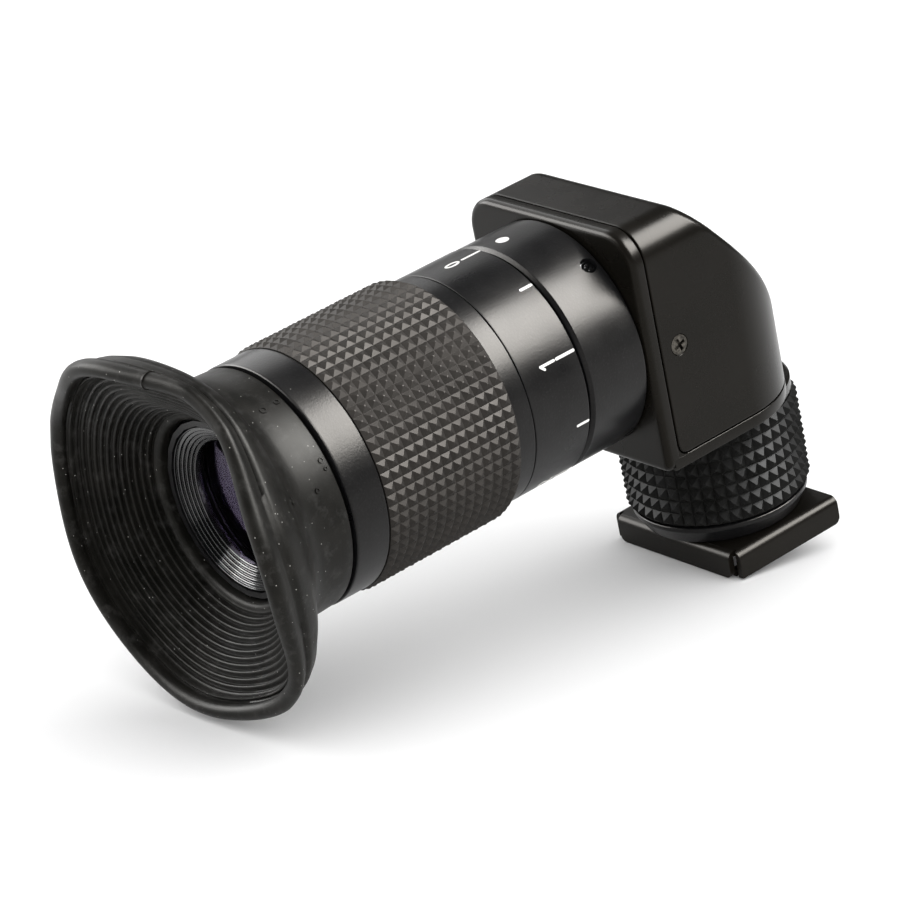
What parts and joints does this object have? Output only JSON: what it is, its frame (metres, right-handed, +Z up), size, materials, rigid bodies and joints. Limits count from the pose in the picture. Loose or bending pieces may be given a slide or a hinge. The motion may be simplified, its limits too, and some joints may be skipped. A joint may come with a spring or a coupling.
{
  "type": "camera right-angle finder",
  "caption": "Camera right-angle finder: slide-on shoe, swivelling prism housing, barrel with a dioptre scale and rubber-gripped focusing ring, and a flared soft eyecup.",
  "frame": {"origin": "centre of the shoe's open underside, on the swivel axis", "axes": "+Z up the swivel axis from the shoe to the prism housing; -Y along the eyepiece barrel towards the eye; +X to the right of someone looking into the eyepiece"},
  "size_m": [0.0494, 0.1004, 0.064],
  "materials": {
    "shoe_sheet": "semi-gloss black on bent sheet",
    "satin_alloy": "satin black anodised, fine grain",
    "housing_paint": "semi-gloss black paint",
    "lock_ring_knurl": "hard black, pyramid knurl",
    "grip_rubber": "matte rubber, square pyramid pattern",
    "eyecup_rubber": "soft matte rubber, lightly dusty",
    "pad_rubber": "soft rubber",
    "black_screws": "blackened steel",
    "bright_steel": "bright steel",
    "coated_glass": "clear glass with a purple-grey coating"
  },
  "bodies": {
    "shoe": {"shoe_plate": "shoe_sheet", "base_skirt": "satin_alloy", "swivel_spindle": "satin_alloy", "objective_lens": "coated_glass", "objective_retainer": "satin_alloy", "shoe_screw_1": "black_screws", "shoe_screw_2": "black_screws", "shoe_screw_3": "black_screws", "shoe_screw_4": "black_screws"},
    "housing": {"housing_frame": "housing_paint", "housing_cover": "housing_paint", "cover_screw_right": "black_screws", "cover_screw_left": "black_screws", "neck_nut": "satin_alloy", "click_ball": "bright_steel", "click_spring": "bright_steel", "click_plug": "bright_steel", "prism_seat": "satin_alloy", "prism_seat_screw_right": "bright_steel", "prism_seat_screw_left": "bright_steel", "roof_prism": "coated_glass", "prism_pad_right": "pad_rubber", "prism_pad_left": "pad_rubber", "fixed_barrel": "satin_alloy", "guide_screw": "black_screws", "barrel_set_screw_1": "black_screws", "barrel_set_screw_2": "black_screws", "barrel_set_screw_3": "black_screws"},
    "lock_ring": {"lock_ring": "lock_ring_knurl"},
    "eyepiece": {"eyepiece_tube": "satin_alloy", "eye_lens": "coated_glass", "eye_lens_ring": "black_screws", "lens_spacer": "satin_alloy", "field_lens": "coated_glass", "field_stop": "satin_alloy", "sleeve_clip": "bright_steel"},
    "focus_ring": {"scale_ring": "satin_alloy", "focus_sleeve": "satin_alloy", "focus_grip": "grip_rubber"},
    "eyecup": {"eyecup": "eyecup_rubber", "eyecup_ring": "satin_alloy"}
  },
  "joints": [
    {"name": "swivel", "type": "hinge", "parent": "shoe", "child": "housing", "pos_m": [0, 0, 0.02], "axis": [0, 0, 1], "continuous": true},
    {"name": "lock_ring_turn", "type": "hinge", "parent": "housing", "child": "lock_ring", "pos_m": [0, 0, 0.0135], "axis": [0, 0, 1], "range_deg": [0, 120]},
    {"name": "helicoid_travel", "type": "slide", "parent": "housing", "child": "eyepiece", "axis": [0, -1, 0], "range_m": [-0.0006, 0.0006]},
    {"name": "dioptre_turn", "type": "hinge", "parent": "eyepiece", "child": "focus_ring", "pos_m": [0, -0.05, 0.0393], "axis": [0, 1, 0], "range_deg": [-144, 144]},
    {"name": "eyecup_turn", "type": "hinge", "parent": "eyepiece", "child": "eyecup", "pos_m": [0, -0.075, 0.0393], "axis": [0, 1, 0], "continuous": true}
  ],
  "couplings": [
    {"joint": "helicoid_travel", "follows": "dioptre_turn", "m_per_rad": 0.0002387}
  ]
}
